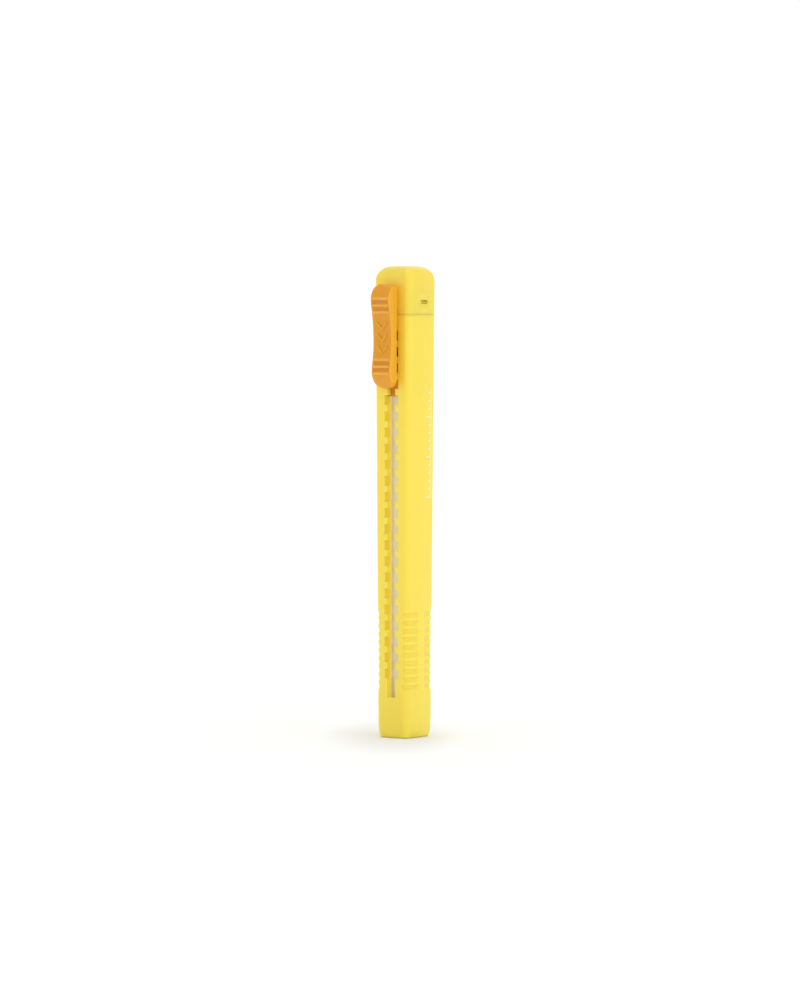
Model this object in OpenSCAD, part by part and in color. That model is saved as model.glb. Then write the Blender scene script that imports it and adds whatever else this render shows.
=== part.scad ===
// Pencil eraser stick: a slotted barrel in which a thumb plate feeds a round eraser out of the mouth.
// Millimetres. The origin is the centre of the mouth rim, +Z runs up the barrel to the cap,
// and the slotted front face looks towards -Y.

/* [Barrel] */
// Height of the seam between the barrel and the cap
barrel_len = 107.6; // [80:0.1:150]
// Thickness of the side walls at the mouth, at the front corners
side_wall = 0.6; // [0.5:0.05:1.2]
// Thickness of the back wall at the mouth
back_wall = 1.6; // [1:0.05:2]
// How much wider the barrel is at the seam than at the mouth
widening = 1.7; // [0.5:0.1:3]
// How much further back the back face lies at the seam than at the mouth
deepening = 0.5; // [0.1:0.1:1.5]
// How far the blunt ridge along each side stands out past the front corners
ridge = 0.4; // [0:0.1:1]
// How far behind the eraser's axis the side ridges lie
ridge_y = 0.5; // [0:0.1:1]
// Radius of the four long corners
corner_r = 1.5; // [1:0.1:2]
// How far the outside draws in at the mouth
mouth_inset = 0.65; // [0.3:0.05:0.8]
// Height over which the outside draws in
mouth_round_h = 4; // [2:0.5:6]
// Height of the thin lip round the mouth
lip_h = 0.8; // [0.5:0.1:1]
// Clearance between the eraser and the hole in the lip
lip_gap = 0.25; // [0.2:0.05:0.4]
// Thickness of the front wall, which the notches go through
front_wall = 1.55; // [1.3:0.05:1.9]
// Radius of the corners of the space inside
cavity_r = 1.6; // [1:0.1:2]

/* [Slot and notches] */
// Width of the narrow slot
slot_w = 2.6; // [2.4:0.1:3]
// Height of the closed end of the slot
slot_low = 10.3; // [8:0.1:12]
// Distance from one notch to the next
notch_pitch = 4.09; // [3.3:0.01:6]
// Height of one notch
notch_h = 2.43; // [2:0.01:3]
// Width of one notch
notch_w = 4.3; // [4:0.1:5.2]
// Height of the lower edge of the lowest notch
notch_low = 15.15; // [14:0.05:18]
// Least distance from the top notch to the seam
notch_margin = 4.1; // [3.5:0.1:8]

/* [Grip grooves] */
// Number of grip grooves
grooves = 10; // [6:1:14]
// Height of the middle of the lowest groove
groove_low = 13; // [12:0.1:16]
// Height of one groove
groove_h = 1.25; // [0.8:0.05:1.5]
// Depth of one groove
groove_depth = 0.32; // [0.1:0.02:0.4]
// Half of the width of the smooth strip along each side ridge
groove_strip = 1.35; // [0.8:0.05:2]
// How far behind the eraser's axis the strip's middle lies
strip_y = 0.15; // [0:0.05:1]

/* [Cap] */
// Height of the cap above the seam
cap_len = 12.4; // [10.4:0.1:16]
// Radius of the rounding round the cap's top
cap_round = 3.7; // [1:0.1:4]
// Crown of the cap's top
cap_crown = 0.15; // [0:0.05:0.5]
// Thickness of the cap's top wall
cap_top = 1.6; // [1.2:0.1:2.5]
// Thickness of the barrel's neck that the cap sits on
neck_wall = 0.7; // [0.6:0.05:0.8]
// Height of the neck above the seam
neck_h = 6.4; // [5.5:0.1:8]
// Clearance between the neck and the cap
neck_gap = 0.05; // [0.02:0.01:0.1]
// Height of the middle of the snap window above the seam
window_z = 3.2; // [2.5:0.1:4]
// How far behind the eraser's axis the middle of the snap window lies
window_y = 0.85; // [0:0.05:1]
// Width of the snap window
window_w = 3; // [2:0.1:4]
// Height of the snap window
window_h = 0.9; // [0.8:0.1:1.5]
// Width of the shallow dish round the window
dish_w = 5.6; // [4.5:0.1:7]
// Height of the shallow dish
dish_h = 3.4; // [2.5:0.1:4]
// Depth of the shallow dish
dish_depth = 0.25; // [0.1:0.05:0.4]

/* [Thumb plate] */
// Width of the thumb plate
plate_w = 5.9; // [5:0.1:7]
// Length of the thumb plate
plate_len = 26.3; // [22:0.1:32]
// How far the plate's middle lies below the middle of the locked notch
plate_drop = 0.2; // [-1:0.1:1]
// Space between the front face and the plate's underside
plate_gap = 1.5; // [1.4:0.05:2]
// How far the upper bump stands off the front face
bump_high = 5; // [4.4:0.1:5.4]
// How far the waist between the bumps stands off the front face
waist = 3.65; // [3:0.05:3.8]
// How far the lower bump stands off the front face
bump_low = 4.55; // [4:0.05:5.2]
// How far the sides of the bumps slope in
plate_slope = 0.2; // [0.05:0.05:0.6]
// Width of the ledge between the plate's edge and a bump
plate_ledge = 0.08; // [0:0.02:0.2]
// Radius of the plate's upper corners
plate_r_high = 1; // [0.5:0.1:2]
// Radius of the plate's lower corners
plate_r_low = 2.2; // [0.5:0.1:2.5]
// Depth of the recessed fields in which the cross ridges stand
field_depth = 0.25; // [0.1:0.05:0.4]
// Length of the cross ridges
rib_len = 4.9; // [3:0.1:5]
// Distance from one cross ridge to the next
rib_pitch = 1.7; // [1.4:0.1:2]
// How far the plate travels inward when it is pressed
press = 1.35; // [1.2:0.05:1.4]
// Length of the stem that goes through the slot
stem_len = 8; // [6:0.1:9]
// Clearance on each side of the stem in the slot
stem_gap = 0.1; // [0.05:0.01:0.15]

/* [Eraser and its holder] */
// Diameter of the eraser
eraser_d = 7; // [5.5:0.1:8.5]
// How far the eraser's tip lies inside the mouth
tip_depth = 1.5; // [1:0.1:3]
// Clearance between the eraser and the holder's cup
cup_gap = 0.05; // [0.02:0.01:0.1]
// Thickness of the cup's sides
cup_side = 0.47; // [0.45:0.01:0.8]
// Thickness of the cup's front
cup_front = 0.4; // [0.4:0.05:1.2]
// Depth of the holder's cup
cup_depth = 8; // [6.6:0.1:9]
// Height of the holder's rim above the mouth when it is fed right out
rim_end = 1.0; // [0.9:0.05:2]
// Clearance between the holder and the space inside the barrel
holder_gap = 0.08; // [0.05:0.01:0.1]
// Thickness of the floor of the cup
cup_floor = 1; // [0.8:0.1:1.5]
// Width of the slits that free the claws
slit_w = 1; // [0.6:0.1:1.5]
// Length of the slits
slit_len = 6; // [4:0.1:7]
// Thickness of the holder's side rails
rail = 1; // [0.8:0.1:1.2]

/* [Lock spring] */
// Thickness of the springy arm
arm_t = 0.9; // [0.7:0.05:1]
// Width of the arm
arm_w = 3.2; // [2.8:0.1:3.6]
// How far the lugs reach into the notches
lug_reach = 1.15; // [0.9:0.05:1.2]
// Clearance above and below a lug in its notch
lug_gap = 0.12; // [0.05:0.01:0.2]
// Height of the block that holds the arm's root
root_h = 2.2; // [1.8:0.1:3]
// Free length of the arm above the locked notch
arm_len = 9; // [8:0.1:10]
// Radius of the peg that joins the stem to the arm
peg_r = 0.6; // [0.4:0.05:0.8]

/* [Hidden] */
$fn = 48;
eps = 0.01;
yellow = [0.94, 0.84, 0.36];
orange = [0.89, 0.61, 0.23];
cream = [0.87, 0.84, 0.74];

// Heights that the pieces share
notch_room = barrel_len - notch_margin - notch_low - notch_h;
notches = floor(notch_room / notch_pitch) + 1;
travel = (notches - 1) * notch_pitch;
lock_z = notch_low + notch_h / 2 + travel;
rim_z = rim_end + travel;
cup_top_z = rim_z + cup_depth;
bay_z = cup_top_z + cup_floor;
root_z = lock_z + arm_len;
holder_top_z = root_z + root_h;
plate_z = lock_z - plate_drop;
total_len = barrel_len + cap_len;

// Places across the barrel, from the eraser outward
eraser_r = eraser_d / 2;
cup_r = eraser_r + cup_gap;
holder_x = cup_r + cup_side;
holder_front = cup_r + cup_front;
arm_front = holder_front;
cavity_x = holder_x + holder_gap;
cavity_back = cavity_x;
inner_front = holder_front + holder_gap;
front_y = inner_front + front_wall;
front_w_low = 2 * (cavity_x + side_wall);
front_w_high = front_w_low + widening;
back_y_low = cavity_back + back_wall;
back_y_high = back_y_low + deepening;
neck_x = cavity_x + neck_wall;
neck_front = inner_front + neck_wall;
neck_back = cavity_back + neck_wall;
neck_r = cavity_r + neck_wall / 2;
lug_front = arm_front + lug_reach;
lug_x = notch_w / 2 - 0.15;
stem_x = slot_w / 2 - stem_gap;
plate_under = front_y + plate_gap;

function unit(v) = v / norm(v);
function blend(a, b, t) = a + (b - a) * t;
function cyc(list, i) = list[(i + len(list)) % len(list)];

// Points of an arc of radius r that rounds the corner b between a and c
function corner_arc(a, b, c, r, n) =
    let(u = unit(a - b), v = unit(c - b), half = acos(u * v) / 2)
    let(mid = b + unit(u + v) * r / sin(half))
    let(p = b + u * r / tan(half) - mid, q = b + v * r / tan(half) - mid)
    let(from = atan2(p.y, p.x), turn = (atan2(q.y, q.x) - from + 540) % 360 - 180)
    [for (i = [0:n]) mid + r * [cos(from + turn * i / n), sin(from + turn * i / n)]];

// Outline of the outside at height z, drawn in by d all round
function outline(z, d = 0) =
    let(t = z / barrel_len)
    let(w = blend(front_w_low, front_w_high, t) / 2 - d)
    let(back = blend(back_y_low, back_y_high, t) - d, front = front_y - d)
    let(side = w + ridge, r = corner_r - d / 3)
    let(sharp = [[w, -front], [side, ridge_y], [w, back], [-w, back], [-side, ridge_y], [-w, -front]])
    [for (i = [0:5]) each
        (i % 3 == 1
            ? [sharp[i]]
            : corner_arc(cyc(sharp, i - 1), sharp[i], cyc(sharp, i + 1), r, 6))];

module slice(z, d = 0) {
    translate([0, 0, z]) linear_extrude(eps) polygon(outline(z, d));
}

// The outside of the barrel, drawn in by d, with its quarter round at the mouth
module body_shape(d = 0) {
    steps = 5;
    hull() {
        for (i = [0:steps])
            slice(mouth_round_h * (1 - sin(90 * (steps - i) / steps)),
                  d + mouth_inset * (1 - cos(90 * (steps - i) / steps)));
        slice(barrel_len - eps, d);
    }
}

// A rectangle with round corners that stays a true arc
module round_rect(x, front, back, r) {
    translate([-x + r, -front]) square([2 * (x - r), front + back]);
    translate([-x, -front + r]) square([2 * x, front + back - 2 * r]);
    for (sx = [-1, 1]) {
        translate([sx * (x - r), -front + r]) circle(r);
        translate([sx * (x - r), back - r]) circle(r);
    }
}

module block(x0, x1, y0, y1, z0, z1) {
    translate([x0, y0, z0]) cube([x1 - x0, y1 - y0, z1 - z0]);
}

module both_sides() {
    children();
    mirror([1, 0, 0]) children();
}

// Where the grip grooves are cut: bands that leave a smooth strip along each side ridge
module groove_bands() {
    for (i = [0:grooves - 1])
        translate([0, 0, groove_low + i * notch_pitch / 2 - groove_h / 2]) both_sides() {
            block(front_w_low / 2 - 0.7, 9, -front_y - 1, strip_y - groove_strip, 0, groove_h);
            block(front_w_low / 2 - 0.7, 9, strip_y + groove_strip, 9, 0, groove_h);
        }
}

module barrel() {
    color(yellow)
    difference() {
        union() {
            body_shape();
            translate([0, 0, barrel_len - 1]) linear_extrude(neck_h + 1)
                round_rect(neck_x, neck_front, neck_back, neck_r);
            both_sides() snap_nib();
        }
        translate([0, 0, lip_h]) linear_extrude(total_len)
            round_rect(cavity_x, inner_front, cavity_back, cavity_r);
        translate([0, 0, -1]) cylinder(h = lip_h + 2, r = eraser_r + lip_gap);
        block(-slot_w / 2, slot_w / 2, -front_y - 1, 0, slot_low, total_len);
        for (i = [0:notches - 1])
            block(-notch_w / 2, notch_w / 2, -front_y - 1, 0,
                  notch_low + i * notch_pitch, notch_low + i * notch_pitch + notch_h);
        difference() {
            groove_bands();
            body_shape(groove_depth);
        }
    }
}

// The wedge on the neck that clicks into the cap's window
module snap_nib() {
    reach = 0.5;
    h = window_h - 0.3;
    translate([neck_x - eps, window_y + window_w / 2 - 0.2, barrel_len + window_z - h / 2])
        rotate([90, 0, 0]) linear_extrude(window_w - 0.4)
            polygon([[0, 0], [reach, 0], [reach, h / 3], [0, h]]);
}

module end_cap() {
    steps = 6;
    color(yellow)
    difference() {
        hull() {
            slice(barrel_len);
            for (i = [0:steps])
                slice(total_len - cap_crown - eps - cap_round * (1 - sin(90 * i / steps)),
                      cap_round * (1 - cos(90 * i / steps)) * 0.9);
            translate([0, 0, total_len - eps]) cylinder(h = eps, r = 1.2);
        }
        translate([0, 0, barrel_len - 1]) linear_extrude(neck_h + 1.3)
            round_rect(neck_x + neck_gap, neck_front + neck_gap, neck_back + neck_gap, neck_r + neck_gap);
        // the narrower space above the neck, which keeps the round top thick
        translate([0, 0, barrel_len]) linear_extrude(cap_len - cap_top)
            round_rect(neck_x - 1.2, neck_front - 1.2, neck_back - 1.2, 1);
        both_sides() {
            block(0, 9, window_y - window_w / 2, window_y + window_w / 2,
                  barrel_len + window_z - window_h / 2, barrel_len + window_z + window_h / 2);
            dish();
        }
    }
}

// The shallow oval dish round the snap window
module dish() {
    ball = (dish_h * dish_h / 4 + dish_depth * dish_depth) / (2 * dish_depth);
    side = front_w_high / 2 + ridge;
    translate([side + ball - dish_depth, window_y, barrel_len + window_z])
        scale([1, dish_w / dish_h, 1]) sphere(ball, $fn = 64);
}

// Side view of the thumb plate: distance off the front face against height from its middle
module plate_profile() {
    top = plate_len / 2;
    polygon([
        [plate_gap, -top + 0.3],
        [plate_gap + 0.3, -top],
        [bump_low - 2.4, -top],
        [bump_low - 1.9, -top + 0.4],
        [bump_low - 1.25, -top + 1.1],
        [bump_low - 0.7, -top + 2.1],
        [bump_low - 0.1, -top + 3.3],
        [bump_low, -top + 4.6],
        [bump_low - 0.4, -top + 7.1],
        [waist + 0.05, -top + 9.8],
        [waist, 0],
        [waist + 0.08, top - 11.4],
        [waist + 0.35, top - 9],
        [bump_high - 0.5, top - 6.5],
        [bump_high - 0.18, top - 5.2],
        [bump_high, top - 3.9],
        [bump_high - 0.13, top - 2.9],
        [bump_high - 0.58, top - 1.9],
        [bump_high - 1.5, top - 0.9],
        [bump_high - 2.4, top],
        [plate_gap + 0.3, top],
        [plate_gap, top - 0.3]
    ]);
}

// End view of the thumb plate: straight sides and a narrow ledge, then bumps with sloping sides
module plate_section() {
    x = plate_w / 2;
    foot = x - plate_ledge;
    translate([0, -front_y]) mirror([0, 1]) polygon([
        [-x, 0], [x, 0], [x, waist],
        [foot, waist + 0.05],
        [foot - plate_slope, bump_high], [foot - plate_slope, bump_high + 1],
        [-foot + plate_slope, bump_high + 1], [-foot + plate_slope, bump_high],
        [-foot, waist + 0.05],
        [-x, waist]
    ]);
}

// Front view of the thumb plate, with its round corners
module plate_outline() {
    x = plate_w / 2;
    top = plate_len / 2;
    for (s = [-1, 1]) {
        translate([s * (x - plate_r_high), top - plate_r_high]) circle(plate_r_high);
        translate([s * (x - plate_r_low), -top + plate_r_low]) circle(plate_r_low);
    }
    translate([-x, -top + plate_r_low]) square([plate_w, plate_len - plate_r_low - plate_r_high]);
    translate([-x + plate_r_high, 0]) square([plate_w - 2 * plate_r_high, top]);
    translate([-x + plate_r_low, -top]) square([plate_w - 2 * plate_r_low, top]);
}

// Puts a side view, drawn as distance off the front face against height, on the front of the barrel
module from_side(w) {
    translate([-w / 2, -front_y, plate_z]) rotate([90, 0, 90]) linear_extrude(w) mirror([1, 0]) children();
}

// The recess, below the plate's own surface, for a group of cross ridges from height z upward
module rib_field(z) {
    from_side(rib_len) difference() {
        translate([waist - 1, z]) square([3, 2 * rib_pitch + 1.2]);
        translate([-field_depth, 0]) plate_profile();
    }
}

// One cross ridge, whose top stands y off the front face
module plate_rib(y, z) {
    translate([0, -front_y - y + 0.35, plate_z + z]) rotate([0, 90, 0])
        cylinder(h = rib_len, r = 0.35, center = true);
}

module thumb_button() {
    top = plate_len / 2;
    color(orange) {
        difference() {
            intersection() {
                from_side(plate_w) plate_profile();
                translate([0, 0, plate_z - plate_len]) linear_extrude(2 * plate_len) plate_section();
                translate([0, 0, plate_z]) rotate([90, 0, 0]) linear_extrude(2 * front_y) plate_outline();
            }
            rib_field(top - 4.2 - 2 * rib_pitch);
            rib_field(-top + 3.2);
        }
        for (i = [0:2]) {
            plate_rib(bump_high + 0.03 - 0.2 * i - 0.03 * i * i, top - 3.6 - i * rib_pitch);
            plate_rib(bump_low + 0.03 - 0.06 * i - 0.06 * i * i, -top + 3.8 + i * rib_pitch);
        }
        block(-stem_x, stem_x, -plate_under - 0.5, -arm_front, lock_z - stem_len / 2, lock_z + stem_len / 2);
        for (s = [-1, 1]) translate([0, -arm_front, lock_z + s * stem_len / 3]) rotate([-90, 0, 0]) {
            translate([0, 0, -0.5]) cylinder(h = arm_t + 0.5, r = peg_r);
            translate([0, 0, arm_t]) cylinder(h = 0.4, r = peg_r + 0.2);
        }
    }
}

module lock_spring() {
    low = lock_z - stem_len / 2;
    h = notch_h - 2 * lug_gap;
    color(orange)
    difference() {
        union() {
            block(-arm_w / 2, arm_w / 2, -arm_front, -arm_front + arm_t, low, holder_top_z);
            block(-lug_x, lug_x, -arm_front, -arm_front + arm_t, lock_z - h / 2, lock_z + h / 2);
            both_sides()
                block(slot_w / 2 + 0.05, lug_x, -lug_front, -arm_front + eps, lock_z - h / 2, lock_z + h / 2);
            block(-arm_w / 2 - 0.4, arm_w / 2 + 0.4, -arm_front, -arm_front + arm_t,
                  root_z + root_h / 2, holder_top_z);
        }
        for (s = [-1, 1]) translate([0, -arm_front - 1, lock_z + s * stem_len / 3]) rotate([-90, 0, 0])
            cylinder(h = arm_t + 2, r = peg_r + 0.05);
    }
}

module eraser_holder() {
    bay_x = lug_x + 0.25;
    color(orange)
    difference() {
        translate([0, 0, rim_z]) linear_extrude(holder_top_z - rim_z)
            round_rect(holder_x, holder_front, holder_x, cavity_r - holder_gap);
        // the cup that holds the eraser's end, with its claws
        translate([0, 0, rim_z - 1]) cylinder(h = cup_depth + 1, r = cup_r);
        block(-9, 9, -slit_w / 2, slit_w / 2, rim_z - 1, rim_z + slit_len);
        block(-slit_w / 2, slit_w / 2, 0, 9, rim_z - 1, rim_z + slit_len);
        // the open bay behind the cup, in which the arm bends
        block(-bay_x, bay_x, -9, holder_x - rail, bay_z, root_z);
        // the pocket that holds the arm's root
        block(-arm_w / 2, arm_w / 2, -9, -arm_front + arm_t, root_z - 1, holder_top_z + 1);
        block(-arm_w / 2 - 0.4, arm_w / 2 + 0.4, -9, -arm_front + arm_t, root_z + root_h / 2, holder_top_z + 1);
    }
}

module eraser_refill() {
    chamfer = 0.3;
    color(cream)
    rotate_extrude()
        polygon([
            [0, tip_depth],
            [eraser_r - chamfer, tip_depth],
            [eraser_r, tip_depth + chamfer],
            [eraser_r, cup_top_z],
            [0, cup_top_z]
        ]);
}

barrel();
end_cap();
thumb_button();
lock_spring();
eraser_holder();
eraser_refill();
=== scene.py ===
"""Visual model of a slim refillable eraser stick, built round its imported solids.

Sizes are in millimetres in the classes and become metres when a mesh is made. The origin is the
centre of the mouth rim, +Z runs up the barrel to the cap, and the slotted front looks towards -Y.
"""
import logging
import math
from contextlib import contextmanager
from dataclasses import dataclass
from enum import Enum
from functools import partial
from typing import Callable, Iterator, Optional, Sequence, Union

import bmesh
import bpy
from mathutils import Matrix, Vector


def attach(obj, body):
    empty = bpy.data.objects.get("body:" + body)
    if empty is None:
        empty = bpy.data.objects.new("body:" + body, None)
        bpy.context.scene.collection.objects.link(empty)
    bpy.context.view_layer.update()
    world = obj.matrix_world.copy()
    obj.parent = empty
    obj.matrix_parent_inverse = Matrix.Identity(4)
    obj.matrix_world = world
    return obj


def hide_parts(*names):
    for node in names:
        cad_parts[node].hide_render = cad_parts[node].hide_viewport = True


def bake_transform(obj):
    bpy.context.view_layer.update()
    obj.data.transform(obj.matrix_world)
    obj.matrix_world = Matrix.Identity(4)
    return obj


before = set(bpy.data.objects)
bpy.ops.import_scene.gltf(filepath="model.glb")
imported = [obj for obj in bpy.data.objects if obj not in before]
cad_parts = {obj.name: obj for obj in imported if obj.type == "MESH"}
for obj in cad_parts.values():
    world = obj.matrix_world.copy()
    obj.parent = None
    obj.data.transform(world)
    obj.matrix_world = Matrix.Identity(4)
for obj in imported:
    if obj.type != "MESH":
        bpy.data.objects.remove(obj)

MM = 0.001
SHARP = 40.0  # degrees from which an edge is shaded sharp
BEVEL_FROM = 32.0  # degrees from which an edge is rounded
log = logging.getLogger("eraser_stick")
Point2 = tuple[float, float]
Loop = list[tuple[float, float, float]]
Colour = tuple[float, float, float]
BLACK: Colour = (0.0, 0.0, 0.0)


def srgb(red: int, green: int, blue: int) -> Colour:
    """Turns a display colour of 0 to 255 into the linear colour that shaders use."""
    def linear(value: int) -> float:
        """One channel."""
        v = value / 255
        return v / 12.92 if v <= 0.04045 else ((v + 0.055) / 1.055) ** 2.4
    return linear(red), linear(green), linear(blue)


def scaled(colour: Colour, share: float) -> Colour:
    """A colour times a share."""
    return tuple(share * channel for channel in colour)


def blend(a: float, b: float, t: float) -> float:
    """The value a share t of the way from a to b."""
    return a + (b - a) * t


def ramp(value: float, low: float, high: float) -> float:
    """A smooth step from 0 at low to 1 at high."""
    t = min(1.0, max(0.0, (value - low) / (high - low)))
    return t * t * (3 - 2 * t)


def quarter(steps: int) -> list[float]:
    """Equal steps of angle from 0 to a right angle, with both ends."""
    return [math.pi / 2 * i / steps for i in range(steps + 1)]


# Node trees.

def feed(tree: bpy.types.NodeTree, socket: bpy.types.NodeSocket, value: object) -> None:
    """Links or sets one input socket; a list links each of its members."""
    for one in value if isinstance(value, list) else [value]:
        if isinstance(one, Wave):
            one = one.socket
        elif isinstance(one, bpy.types.Node):
            one = one.outputs[0]
        if isinstance(one, bpy.types.NodeSocket):
            tree.links.new(one, socket)
        else:
            socket.default_value = one


def add_node(tree: bpy.types.NodeTree, kind: str, settings: dict, inputs: dict) -> bpy.types.Node:
    """Adds a node to a tree.

    Args:
        tree: the tree.
        kind: the node's type.
        settings: its own settings, set first.
        inputs: values or links by socket name or number.

    Returns:
        The node.
    """
    made = tree.nodes.new(kind)
    for key, value in settings.items():
        setattr(made, key, value)
    for key, value in inputs.items():
        feed(tree, made.inputs[key], value)
    return made


Value = Union["Wave", float]


def operator(operation: str, turned: bool = False) -> Callable[..., "Wave"]:
    """Makes a Python operator that adds one Math node.

    Args:
        operation: the node's operation.
        turned: True to put the other value first.

    Returns:
        The method.
    """
    def method(self: "Wave", other: Value = 0.0) -> "Wave":
        """Adds the node."""
        pair = (other, self) if turned else (self, other)
        return self.shader.node("ShaderNodeMath", {"operation": operation}, dict(enumerate(pair)))
    return method


class Wave:
    """A shader socket that takes part in Python arithmetic by adding Math nodes."""

    def __init__(self, shader: "Shader", socket: bpy.types.NodeSocket) -> None:
        """Wraps one output socket of the shader's tree."""
        self.shader = shader
        self.socket = socket

    __add__ = operator("ADD")
    __radd__ = operator("ADD", turned=True)
    __sub__ = operator("SUBTRACT")
    __rsub__ = operator("SUBTRACT", turned=True)
    __mul__ = operator("MULTIPLY")
    __rmul__ = operator("MULTIPLY", turned=True)
    __truediv__ = operator("DIVIDE")
    __mod__ = operator("FLOORED_MODULO")
    __gt__ = operator("GREATER_THAN")
    __lt__ = operator("LESS_THAN")
    __abs__ = operator("ABSOLUTE")

    def step(self, low: float, high: float) -> "Wave":
        """A smooth step from 0 at low to 1 at high."""
        return self.shader.node("ShaderNodeMapRange", {"interpolation_type": "SMOOTHSTEP"},
                                {0: self, 1: low, 2: high, 3: 0.0, 4: 1.0})


class Shader:
    """One material's node tree, written as calls and expressions."""

    def __init__(self, name: str) -> None:
        """Starts a material with an empty tree but for its output and main shader.

        Args:
            name: the material's name.
        """
        self.material = bpy.data.materials.new(name)
        self.material.use_nodes = True
        self.tree = self.material.node_tree
        self.main = self.tree.nodes["Principled BSDF"]
        self.place = self.node("ShaderNodeTexCoord", {}, {}, "Object").socket

    def node(self, kind: str, settings: dict, inputs: dict, output: Union[str, int] = 0) -> Wave:
        """Adds a node and gives one of its outputs."""
        return Wave(self, add_node(self.tree, kind, settings, inputs).outputs[output])

    def set(self, **values: object) -> None:
        """Sets or links inputs of the main shader; an underscore stands for a space."""
        for key, value in values.items():
            feed(self.tree, self.main.inputs[key.replace("_", " ")], value)

    def base(self) -> bpy.types.NodeSocket:
        """The colour that the main shader has so far."""
        return self.main.inputs["Base Color"].links[0].from_socket

    def glow(self, share: Wave, colour: Colour) -> None:
        """Lets a share of each place give off light of a colour."""
        self.set(Emission_Color=self.mix(share, BLACK, colour), Emission_Strength=1.0)

    def axes(self) -> tuple[Wave, Wave, Wave]:
        """The place on the object in metres, as three numbers."""
        made = add_node(self.tree, "ShaderNodeSeparateXYZ", {}, {0: self.place})
        return tuple(Wave(self, out) for out in made.outputs)

    def noise(self, scale: float, detail: float = 2.0, stretch: Sequence[float] = (1, 1, 1)) -> Wave:
        """Cloudy noise of 0 to 1 about a half.

        Args:
            scale: how many clouds fit in a metre.
            detail: how many finer layers it has.
            stretch: a factor on the scale along each axis.

        Returns:
            The noise.
        """
        place = self.node("ShaderNodeMapping", {}, {"Vector": self.place, "Scale": tuple(stretch)})
        return self.node("ShaderNodeTexNoise", {}, {
            "Vector": place, "Scale": scale, "Detail": detail, "Roughness": 0.55})

    def mix(self, share: Value, a: object, b: object) -> Wave:
        """Mixes two colours by a share."""
        a, b = ((*one, 1.0) if isinstance(one, tuple) else one for one in (a, b))
        return self.node("ShaderNodeMix", {"data_type": "RGBA"}, {0: share, 6: a, 7: b}, 2)

    def bump(self, height: Wave, depth: float) -> Wave:
        """A normal bent by a height field whose full range is depth metres."""
        return self.node("ShaderNodeBump", {}, {"Strength": 1.0, "Distance": depth, "Height": height})


# Finishes.

@dataclass(frozen=True)
class MouldedPlastic:
    """Satin gloss moulded plastic that lets some light through."""

    name: str
    colour: Colour
    deep: Colour
    roughness: float = 0.3
    glow: float = 0.6
    glow_radius: Colour = (1.0, 0.85, 0.2)
    glow_depth: float = 2.5
    wear: float = 0.5
    cloud_scale: float = 90
    patch_scale: float = 260
    scratch_scale: float = 2600
    skin_scale: float = 5200
    dirt_scale: float = 1500
    refraction: float = 1.49
    relief: float = 0.012

    def shade(self) -> Shader:
        """Writes the finish: faint flow clouds, dulled patches, hair scratches and an even skin."""
        s = Shader(self.name)
        clouds = s.noise(self.cloud_scale, 3, (1, 1, 0.35))
        handled = s.noise(self.patch_scale, 4).step(0.42, 0.72)
        scratches = s.noise(self.scratch_scale, 2, (1, 1, 0.06)).step(0.62, 0.78)
        skin = s.noise(self.skin_scale, 2)
        dirt = s.noise(self.dirt_scale, 3).step(0.66, 0.8) * (0.1 * self.wear)
        base = s.mix((clouds - 0.35) * 0.55, self.colour, self.deep)
        base = s.mix(dirt, base, scaled(self.deep, 0.55))
        s.set(Base_Color=base,
              Roughness=self.roughness + handled * (0.1 * self.wear) + scratches * (0.12 * self.wear),
              Subsurface_Weight=self.glow, Subsurface_Radius=self.glow_radius,
              Subsurface_Scale=self.glow_depth * MM, IOR=self.refraction,
              Normal=s.bump(skin * 0.6 + scratches * -0.5 + clouds * 0.8, self.relief * MM))
        return s

    def material(self) -> bpy.types.Material:
        """The finished material."""
        return self.shade().material


@dataclass(frozen=True)
class TickScale:
    """A plain printed ruler scale up one side: a thin line with short and long ticks."""

    line_y: float = 4.0
    line_w: float = 0.22
    bottom: float = 61.0
    top: float = 88.6
    pitch: float = 2.045
    tick_h: float = 0.3
    short: float = 1.2
    long: float = 2.4
    side_x: float = 4.5
    ink: Colour = srgb(255, 240, 178)

    def mask(self, s: Shader) -> Wave:
        """1 on the ink and 0 off it."""
        x, y, z = s.axes()
        away = self.line_y - y / MM
        height = z / MM - self.bottom
        line = (away < self.line_w) * (away > 0.0)
        tick = (height % self.pitch) < self.tick_h
        fifth = (height % (5 * self.pitch)) < self.tick_h
        reach = fifth * (self.long - self.short) + self.short
        ticks = tick * (away > 0.0) * (away < reach)
        inside = (height > -0.01) * (z < self.top * MM) * (x > self.side_x * MM)
        return (line + ticks - line * ticks) * inside


@dataclass(frozen=True)
class GroovePaintedShade:
    """Painted shade: a slightly deeper, patchy tone in the grip grooves, where shade falls."""

    first: float = 13.0
    pitch: float = 2.045
    rows: int = 10
    half: float = 0.55
    strip_y: float = 0.15
    strip_half: float = 1.5
    side_x: float = 3.5
    depth: float = 0.15

    def mask(self, s: Shader) -> Wave:
        """How much painted shade a place takes, from 0 to 1."""
        x, y, z = s.axes()
        turn = (z / MM - (self.first - self.pitch / 2)) % self.pitch
        near = 1.0 - abs(turn - self.pitch / 2).step(self.half - 0.15, self.half + 0.05)
        last = self.first + (self.rows - 1) * self.pitch
        rows = (z > (self.first - self.half) * MM) * (z < (last + self.half) * MM)
        sides = (abs(x) > self.side_x * MM) * (abs(y - self.strip_y * MM) > self.strip_half * MM)
        patchy = s.noise(900, 3).step(0.25, 0.7) * 0.5 + 0.5
        return near * rows * sides * patchy * self.depth


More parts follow.
